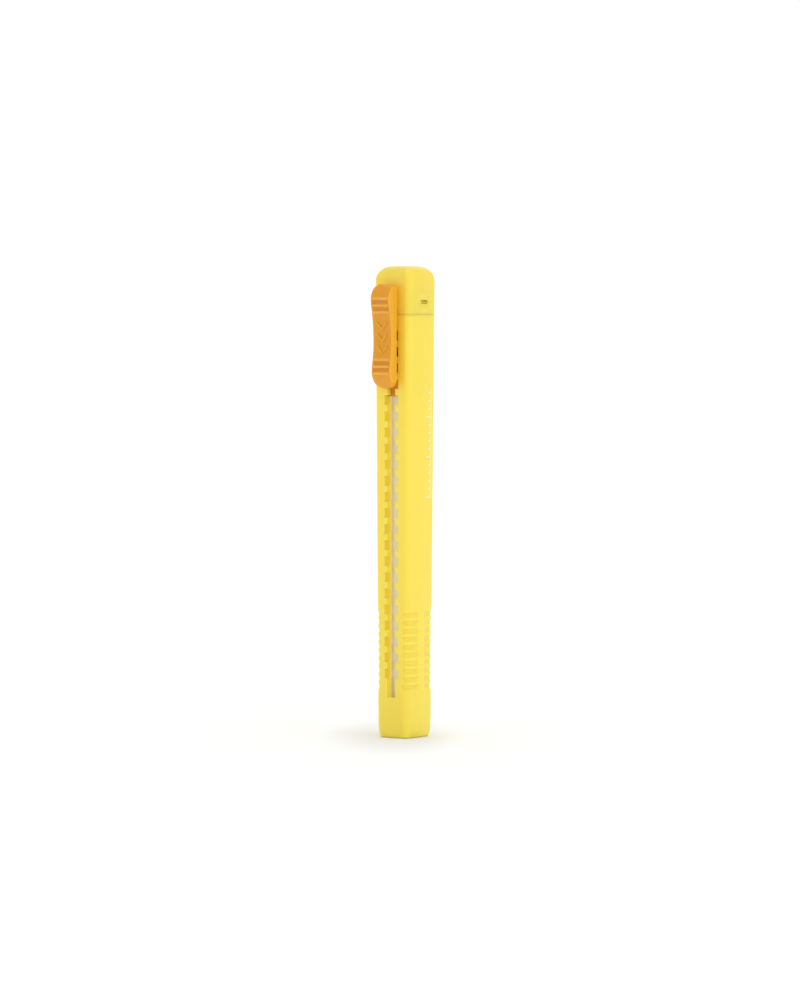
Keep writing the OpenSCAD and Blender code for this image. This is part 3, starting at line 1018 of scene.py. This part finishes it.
@dataclass
class EndCap:
    """The cap over the barrel's neck, with a snap window in a shallow dish on each side."""

    housing: Housing
    length: float = 12.4
    rounding: float = 3.7
    round_in: float = 0.9
    crown: float = 0.15
    top_wall: float = 1.6
    neck_x: float = 4.85
    neck_front: float = 4.78
    neck_back: float = 4.85
    neck_r: float = 2.0
    neck_room: float = 6.7
    window_z: float = 3.2
    window_y: float = 0.85
    window_w: float = 3.0
    window_h: float = 0.9
    cut_length: float = 50.0
    dish_w: float = 5.6
    dish_h: float = 3.4
    dish_depth: float = 0.26
    dish_power: float = 0.45
    dish_from: float = 4.5
    dish_steps: int = 20
    seam_inset: float = 0.1
    seam_h: float = 0.12
    crown_steps: tuple[Point2, ...] = ((0.75, 0.45), (0.5, 0.75), (0.25, 0.95), (0.06, 1.0))
    pocket_step: float = 1.2
    pocket_r: float = 1.0
    snap_reach: float = 0.5
    snap_edge: float = 0.06

    def dished(self, loop: Loop) -> Loop:
        """Presses the dishes into a loop's sides."""
        out: Loop = []
        for x, y, z in loop:
            u = (y - self.window_y) / (self.dish_w / 2)
            v = (z - self.housing.length - self.window_z) / (self.dish_h / 2)
            on_side = abs(x) > self.dish_from
            depth = self.dish_depth * max(0.0, 1 - u * u - v * v) ** self.dish_power if on_side else 0.0
            out.append((x - math.copysign(depth, x), y, z))
        return out

    def shell(self) -> bpy.types.Object:
        """The closed cap before its windows are cut."""
        h = self.housing
        top = h.length + self.length
        loops = [h.loop(h.length, self.seam_inset), h.loop(h.length + self.seam_h, 0.0)]
        for i in range(self.dish_steps + 1):
            z = h.length + self.window_z + self.dish_h * (i / self.dish_steps - 0.5) * 1.1
            loops.append(self.dished(h.loop(z)))
        shoulder = top - self.crown - self.rounding
        loops.append(h.loop(shoulder))
        for a in quarter(14)[1:]:
            inset = self.round_in * self.rounding * (1 - math.cos(a))
            loops.append(h.loop(shoulder + self.rounding * math.sin(a), inset))
        last = loops[-1]
        for share, lift in self.crown_steps:
            loops.append([(x * share, y * share, last[0][2] + self.crown * lift) for x, y, _ in last])
        guide = h.loop(h.length)
        walls = (self.neck_x, self.neck_front, self.neck_back)
        wide = [*walls, self.neck_r]
        tight = [wall - self.pocket_step for wall in walls] + [self.pocket_r]
        inner = [
            round_rect_loop(guide, *wide, h.length),
            round_rect_loop(guide, *wide, h.length + self.neck_room),
            round_rect_loop(guide, *tight, h.length + self.neck_room),
            round_rect_loop(guide, *tight, top - self.top_wall),
        ]
        return from_loops("cap_shell", list(reversed(inner)) + loops)

    def build(self) -> bpy.types.Object:
        """Cuts the windows and dresses the cap."""
        made = self.shell()
        recipe = Recipe("snap_windows")
        width, height, level, depth_y = recipe.numbers("Width", "Height", "Level", "Depth Place")
        box = recipe.node("GeometryNodeMeshCube", Size=recipe.vector(self.cut_length * MM, width, height))
        box = recipe.node("GeometryNodeTransform", Geometry=box,
                          Translation=recipe.vector(0.0, depth_y, level))
        cut = recipe.node("GeometryNodeMeshBoolean", {"operation": "DIFFERENCE", "solver": "EXACT"},
                          Mesh_1=recipe.start.outputs[0], Mesh_2=box)
        recipe.finish(cut, Finish.CAP.material())
        recipe.apply(made, Width=self.window_w, Height=self.window_h,
                     Level=self.housing.length + self.window_z, Depth_Place=self.window_y)
        smooth(made, SHARP)
        made.name = "end_cap_shell"
        return place(made, Finish.CAP, "barrel", "end_cap")

    def build_snaps(self) -> bpy.types.Object:
        """The two wedges on the neck that stand in the windows."""
        bm = bmesh.new()
        half = self.window_w / 2 - 0.2
        x0, reach, tall = self.neck_x - 0.08, self.snap_reach, self.window_h - 0.3
        z0 = self.housing.length + self.window_z - tall / 2
        profile = ((0, 0), (reach, 0), (reach, tall / 3), (0.15, tall), (0, tall))
        for side in (-1, 1):
            rows = [[bm.verts.new(Vector((side * (x0 + p), self.window_y + y, z0 + q)) * MM)
                     for p, q in profile] for y in (-half, half)]
            count = len(profile)
            for i in range(count):
                j = (i + 1) % count
                bm.faces.new((rows[0][i], rows[0][j], rows[1][j], rows[1][i]))
            bm.faces.new(rows[0])
            bm.faces.new(rows[1])
        bmesh.ops.recalc_face_normals(bm, faces=bm.faces)
        made = from_bmesh("neck_snaps", bm)
        soften(made, self.snap_edge)
        return place(made, Finish.BARREL, "barrel")


@dataclass
class ThumbPlate:
    """The plate that the thumb presses and slides, with its stem and pegs."""

    housing: Housing
    middle_z: float = 102.055
    lock_z: float = 102.255
    length: float = 26.3
    half_width: float = 2.95
    gap: float = 1.5
    high_corner: float = 1.1
    low_corner: float = 2.2
    shoulder: float = 3.5
    lean: float = 0.08
    end_zone: float = 3.1
    end_half: float = 0.9
    ridge_len: float = 4.9
    ridge_pitch: float = 1.7
    ridge_r: float = 0.42
    low_ridge: float = 3.8
    high_ridge: float = 3.6
    field_depth: float = 0.26
    end_round: float = 0.5
    low_bump: tuple[Point2, ...] = ((0.0, 2.1), (0.5, 2.6), (1.0, 3.05), (2.1, 3.8), (3.3, 4.35),
                                    (4.6, 4.48), (7.1, 4.08), (9.6, 3.74))
    waist: float = 3.68
    high_bump: tuple[Point2, ...] = ((11.4, 3.78), (9.0, 4.05), (6.5, 4.48), (5.2, 4.78), (3.9, 4.92),
                                     (2.9, 4.8), (1.9, 4.34), (0.9, 3.55), (0.4, 3.0), (0.0, 2.55))
    across: tuple[float, ...] = (2.66, 2.58, 2.5, 2.43, 2.3, 1.9, 1.4, 0.9, 0.4, 0.0)
    station_gap: float = 0.14
    under_r: float = 0.22
    rim_r: float = 0.16
    high_end: float = 4.35
    low_end: float = 2.7
    mark_lift: float = 0.26
    marks: tuple[float, ...] = (2.0, -1.0, -4.0)
    mark_outline: tuple[Point2, ...] = ((-1.5, 1.1), (0.0, -0.4), (1.5, 1.1), (1.5, 1.75), (0.0, 0.25),
                                        (-1.5, 1.75))
    stem_root: float = 0.3
    stem_half: Point2 = (1.5, 5.0)
    edge: float = 0.07

    def profile(self) -> list[Point2]:
        """Height from the plate's middle against how far its edge stands off the barrel."""
        top = self.length / 2
        low = [(-top + away, height) for away, height in self.low_bump]
        high = [(top - away, height) for away, height in self.high_bump]
        return low + [(0.0, self.waist)] + high

    def stand_off(self, z: float) -> float:
        """How far the plate's edge stands off the barrel at a height from its middle."""
        points = self.profile()
        for i, ((za, ya), (zb, yb)) in enumerate(zip(points, points[1:])):
            if z <= zb or i == len(points) - 2:
                before = points[max(0, i - 1)]
                after = points[min(len(points) - 1, i + 2)]
                t = (z - za) / (zb - za)
                ma = (yb - before[1]) / (zb - before[0]) * (zb - za)
                mb = (after[1] - ya) / (after[0] - za) * (zb - za)
                return ((2 * t**3 - 3 * t**2 + 1) * ya + (t**3 - 2 * t**2 + t) * ma
                        + (-2 * t**3 + 3 * t**2) * yb + (t**3 - t**2) * mb)
        return points[-1][1]

    def end_share(self, z: float) -> float:
        """How far into an end zone a height lies, from 0 at its start to 1 at the plate's end."""
        return max(0.0, min(1.0, (abs(z) - (self.length / 2 - self.end_zone)) / self.end_zone))

    def crown(self, z: float) -> float:
        """How far the middle of the face stands off; at the ends it stays higher than the edge."""
        start = math.copysign(self.length / 2 - self.end_zone, z)
        share = self.end_share(z)
        end, share = (self.high_end, share) if z > 0 else (self.low_end, share ** 1.3)
        held = blend(self.stand_off(start), end, share)
        return max(self.stand_off(z), held) if share > 0 else self.stand_off(z)

    def half_at(self, z: float) -> float:
        """Half of the plate's width at a height from its middle, drawn in round the corners."""
        r = self.high_corner if z > 0 else self.low_corner
        past = max(0.0, abs(z) - (self.length / 2 - r))
        return self.half_width - r + math.sqrt(max(0.0, r * r - past * past))

    def fields(self) -> tuple[tuple[float, float], tuple[float, float]]:
        """The lowest and highest ridge of each group, as heights from the plate's middle."""
        low = -self.length / 2 + self.low_ridge
        high = self.length / 2 - self.high_ridge
        return (low, low + 2 * self.ridge_pitch), (high - 2 * self.ridge_pitch, high)

    def sunk(self, x: float, z: float) -> float:
        """How deep the face is sunk between the ridges."""
        half = self.ridge_len / 2
        across = 1 - ramp(abs(x), half - 0.02, half + 0.14)
        total = 0.0
        for low, high in self.fields():
            total += ramp(z, low - 0.1, low + 0.1) * (1 - ramp(z, high - 0.1, high + 0.1))
        return self.field_depth * across * total

    def section(self, z: float, shrink: float) -> Loop:
        """The plate's outline at a height from its middle, drawn in by shrink near its ends."""
        under = self.gap + shrink * 0.6
        edge = max(under + 0.5, self.stand_off(z) - 0.4 * shrink)
        crown = max(edge, self.crown(z) - 0.3 * shrink)
        half = self.half_at(z) - 0.6 * shrink
        foot = Vector((half, min(self.shoulder, edge - 0.25)))
        rim = Vector((half - self.lean * max(0.0, edge - self.shoulder), edge))
        flat = min(rim.x - 0.2, blend(rim.x - 0.2, self.end_half, self.end_share(z)))
        top = Vector((flat, crown))
        small = self.under_r
        points = [(half - small + small * math.cos(a - math.pi / 2),
                   under + small + small * math.sin(a - math.pi / 2)) for a in quarter(6)]
        points.append(tuple(foot))
        reach = min(self.rim_r, 0.45 * (rim - foot).length, 0.45 * (top - rim).length)
        start = rim + (foot - rim).normalized() * reach
        end = rim + (top - rim).normalized() * reach
        for i in range(5):
            t = i / 4
            points.append(tuple((1 - t) ** 2 * start + 2 * t * (1 - t) * rim + t * t * end))
        points += [(x * flat / self.across[0], crown) for x in self.across]
        out: Loop = []
        for x, y in points + [(-x, y) for x, y in reversed(points[:-1])]:
            sunk = self.sunk(x, z) if y > crown - 1e-6 else 0.0
            out.append((x, -self.housing.front - y + sunk, self.middle_z + z))
        return out

    def stations(self) -> list[tuple[float, float]]:
        """Heights from the plate's middle with how far each section is drawn in."""
        top, r = self.length / 2, self.end_round
        ends = [(-top + r * (1 - math.cos(a)), r * (1 - math.sin(a))) for a in quarter(6)[:-1]]
        count = round((self.length - 2 * r) / self.station_gap)
        middle = [(blend(-top + r, top - r, i / count), 0.0) for i in range(count + 1)]
        return ends + middle + [(-z, drawn) for z, drawn in reversed(ends)]

    def face_plate(self) -> bpy.types.Object:
        """The plate itself."""
        return from_loops("plate_face", [self.section(z, drawn) for z, drawn in self.stations()])

    def add_ridges(self, plate: bpy.types.Object) -> None:
        """Merges the two groups of cross ridges into the plate."""
        recipe = ridge_recipe(Finish.PLATE.material())
        for low, high in self.fields():
            bm = bmesh.new()
            ends = []
            for z in (low, (low + high) / 2, high):
                y = -self.housing.front - self.stand_off(z) + self.ridge_r - 0.03
                ends.append(bm.verts.new(Vector((0, y, self.middle_z + z)) * MM))
            bm.edges.new(ends[:2])
            bm.edges.new(ends[1:])
            line = from_bmesh("ridge_line", bm)
            merge(plate, recipe.apply(line, Count=3, Length=self.ridge_len, Radius=self.ridge_r))

    def arrows(self) -> list[bpy.types.Object]:
        """Three plain raised arrow heads in the plate's hollow, pointing down the slot."""
        def loop(centre: float, lift: float) -> Loop:
            """One arrow head's outline at a height above the plate's face."""
            return [(x, -self.housing.front - self.stand_off(z + centre) - lift,
                     self.middle_z + z + centre) for x, z in self.mark_outline]
        return [from_loops("plate_arrow", [loop(centre, -0.4), loop(centre, self.mark_lift)])
                for centre in self.marks]

    def stem(self) -> bpy.types.Object:
        """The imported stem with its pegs, cut from its plate and rooted a little way into the new one."""
        stem = from_node("plate_stem", "thumb_button")
        under = -(self.housing.front + self.gap) * MM - 1e-7
        root = under - self.stem_root * MM
        half_x, half_z = self.stem_half
        with edited(stem) as bm:
            cut_plane(bm, (0, root, 0), (0, -1, 0), clear=True)
            loose = [v for v in bm.verts
                     if abs(v.co.x) > half_x * MM or abs(v.co.z - self.lock_z * MM) > half_z * MM]
            bmesh.ops.delete(bm, geom=loose, context="VERTS")
            bmesh.ops.holes_fill(bm, edges=bm.edges)
            for vert in bm.verts:
                if vert.co.y < under + 0.01 * MM:
                    vert.co.y = root
        return stem

    def build(self) -> bpy.types.Object:
        """Puts the plate, its ridges, its arrow heads, its stem and its pegs together."""
        made = self.face_plate()
        self.add_ridges(made)
        for part in [*self.arrows(), self.stem()]:
            merge(made, part)
        made.name = "thumb_plate"
        soften(made, self.edge)
        return place(made, Finish.PLATE, "button", "thumb_button")


@dataclass
class LockSpring:
    """The springy arm behind the plate, which bends between the holder and the plate."""

    root_z: float = 111.26
    free_z: float = 106.4
    slices: int = 14
    sharp: float = 35.0

    def build(self) -> bpy.types.Object:
        """Cuts the arm into short lengths, so that it can bend evenly, shades it and dresses it."""
        made = from_node("lock_arm", "lock_spring")
        with edited(made) as bm:
            for i in range(self.slices + 1):
                z = blend(self.free_z, self.root_z, i / self.slices) * MM
                cut_plane(bm, (0, 0, z), (0, 0, 1))
        smooth(made, self.sharp)
        dress(made, Finish.INNER, "lock_spring")
        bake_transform(made)
        log.info("%s bends between carriage and button", made.name)
        return made


@dataclass
class EraserHolder:
    """The carriage with its cup and claws."""

    edge: float = 0.12

    def build(self) -> bpy.types.Object:
        """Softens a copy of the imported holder."""
        made = from_node("holder_body", "eraser_holder")
        soften(made, self.edge)
        return place(made, Finish.INNER, "carriage", "eraser_holder")


@dataclass
class EraserRefill:
    """The round eraser with a used tip."""

    radius: float = 3.5
    tip_z: float = 1.5
    top_z: float = 94.89
    steps: int = 96
    tip_round: float = 0.9
    centre_r: float = 0.4
    loops_z: tuple[float, ...] = (12.0, 30.0, 50.0, 70.0, 86.0)
    sharp: float = 50.0

    def outline(self) -> list[Point2]:
        """Radius against height from the tip to the top."""
        r, tip, centre = self.radius, self.tip_round, self.centre_r
        out = [(centre, self.tip_z), (r - tip - 0.6, self.tip_z + 0.02)]
        out += [(r - tip * (1 - math.sin(a)), self.tip_z + tip * (1 - math.cos(a))) for a in quarter(8)]
        out += [(r, z) for z in self.loops_z]
        out += [(r, self.top_z - 0.3), (r - 0.09, self.top_z - 0.09), (r - 0.3, self.top_z)]
        return out + [(centre, self.top_z)]

    def build(self) -> bpy.types.Object:
        """Turns the outline and dresses the eraser."""
        turns = [2 * math.pi * i / self.steps for i in range(self.steps)]
        loops = [[(r * math.cos(a), r * math.sin(a), z) for a in turns] for r, z in self.outline()]
        made = from_loops("eraser_stick_white", loops)
        smooth(made, self.sharp)
        return place(made, Finish.ERASER, "refill", "eraser_refill")


# The studio.

@dataclass(frozen=True)
class Lamp:
    """One soft square lamp, placed as the camera sees it and turned to a height on the object's axis."""

    name: str
    right: float
    towards: float
    up: float
    aim_z: float
    size: float
    power: float


@dataclass
class Studio:
    """Floor, lights and camera, in metres."""

    azimuth: float = 36.8
    distance: float = 1.15
    eye_z: float = 0.1077
    aim_z: float = 0.0604
    aim_right: float = -0.00111
    lens: float = 162.7
    sensor: float = 36.0
    room: float = 0.83
    sheet_half: float = 2.0
    sheet_top: float = 2.5
    bend_at: float = 1.2
    bend_r: float = 1.0
    lamps: tuple[Lamp, ...] = (Lamp("key", 0.7, 0.65, 0.45, 0.06, 0.8, 1.4),
                               Lamp("fill", -0.6, 0.8, 0.5, 0.06, 0.9, 0.1),
                               Lamp("top", 0.0, 0.0, 1.3, 0.0, 1.0, 1.9))

    def spot(self, right: float, towards: float, up: float) -> Vector:
        """A place given to the right of, towards and above the object as the camera sees it."""
        angle = math.radians(self.azimuth)
        across = Vector((math.cos(angle), math.sin(angle), 0))
        ahead = Vector((math.sin(angle), -math.cos(angle), 0))
        return across * right + ahead * towards + Vector((0, 0, up))

    def aimed(self, name: str, data: bpy.types.ID, eye: Vector, aim: Vector) -> bpy.types.Object:
        """Adds a lamp or a camera that looks from one place to another."""
        made = bpy.data.objects.new(name, data)
        made.location = eye
        made.rotation_euler = (aim - eye).to_track_quat("-Z", "Y").to_euler()
        bpy.context.scene.collection.objects.link(made)
        return made

    def floor(self) -> None:
        """A sheet that runs flat under the object and curves up far behind it."""
        path = [(-self.sheet_half, 0.0), (0.0, 0.0), (self.bend_at, 0.0)]
        path += [(self.bend_at + self.bend_r * math.sin(a), self.bend_r * (1.0 - math.cos(a)))
                 for a in quarter(12)[1:]]
        path += [(self.bend_at + self.bend_r, self.sheet_top)]
        sides = (-self.sheet_half, self.sheet_half)
        bm = bmesh.new()
        rows = [[bm.verts.new(self.spot(side, -back, up)) for side in sides] for back, up in path]
        for a, b in zip(rows, rows[1:]):
            bm.faces.new((a[0], a[1], b[1], b[0]))
        made = from_bmesh("studio_floor", bm)
        made.data.shade_smooth()
        made.data.materials.append(StudioPaper(azimuth=self.azimuth).material())

    def light(self) -> None:
        """The lamps, and an even pale room light."""
        for lamp in self.lamps:
            data = bpy.data.lights.new(lamp.name, "AREA")
            data.size = lamp.size
            data.energy = lamp.power
            self.aimed(lamp.name, data, self.spot(lamp.right, lamp.towards, lamp.up),
                       Vector((0, 0, lamp.aim_z)))
        world = bpy.data.worlds.new("room")
        world.use_nodes = True
        world.node_tree.nodes["Background"].inputs["Color"].default_value = (1, 1, 1, 1)
        world.node_tree.nodes["Background"].inputs["Strength"].default_value = self.room
        bpy.context.scene.world = world

    def camera(self) -> None:
        """The camera at the photograph's viewing angle."""
        data = bpy.data.cameras.new("view")
        data.lens = self.lens
        data.sensor_width = self.sensor
        angle = math.radians(self.azimuth)
        eye = Vector((math.sin(angle) * self.distance, -math.cos(angle) * self.distance, self.eye_z))
        aim = self.spot(self.aim_right, 0.0, self.aim_z)
        bpy.context.scene.camera = self.aimed("view", data, eye, aim)

    def build(self) -> None:
        """Sets everything up."""
        self.floor()
        self.light()
        self.camera()
        bpy.context.scene.view_settings.view_transform = "Standard"


def main() -> None:
    """Builds every piece, then the studio."""
    logging.basicConfig(level=logging.INFO, format="%(name)s: %(message)s")
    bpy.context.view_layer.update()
    housing = Housing()
    Barrel(housing).build()
    cap = EndCap(housing)
    cap.build()
    cap.build_snaps()
    ThumbPlate(housing).build()
    LockSpring().build()
    EraserHolder().build()
    EraserRefill().build()
    Studio().build()


if __name__ == "__main__":
    main()
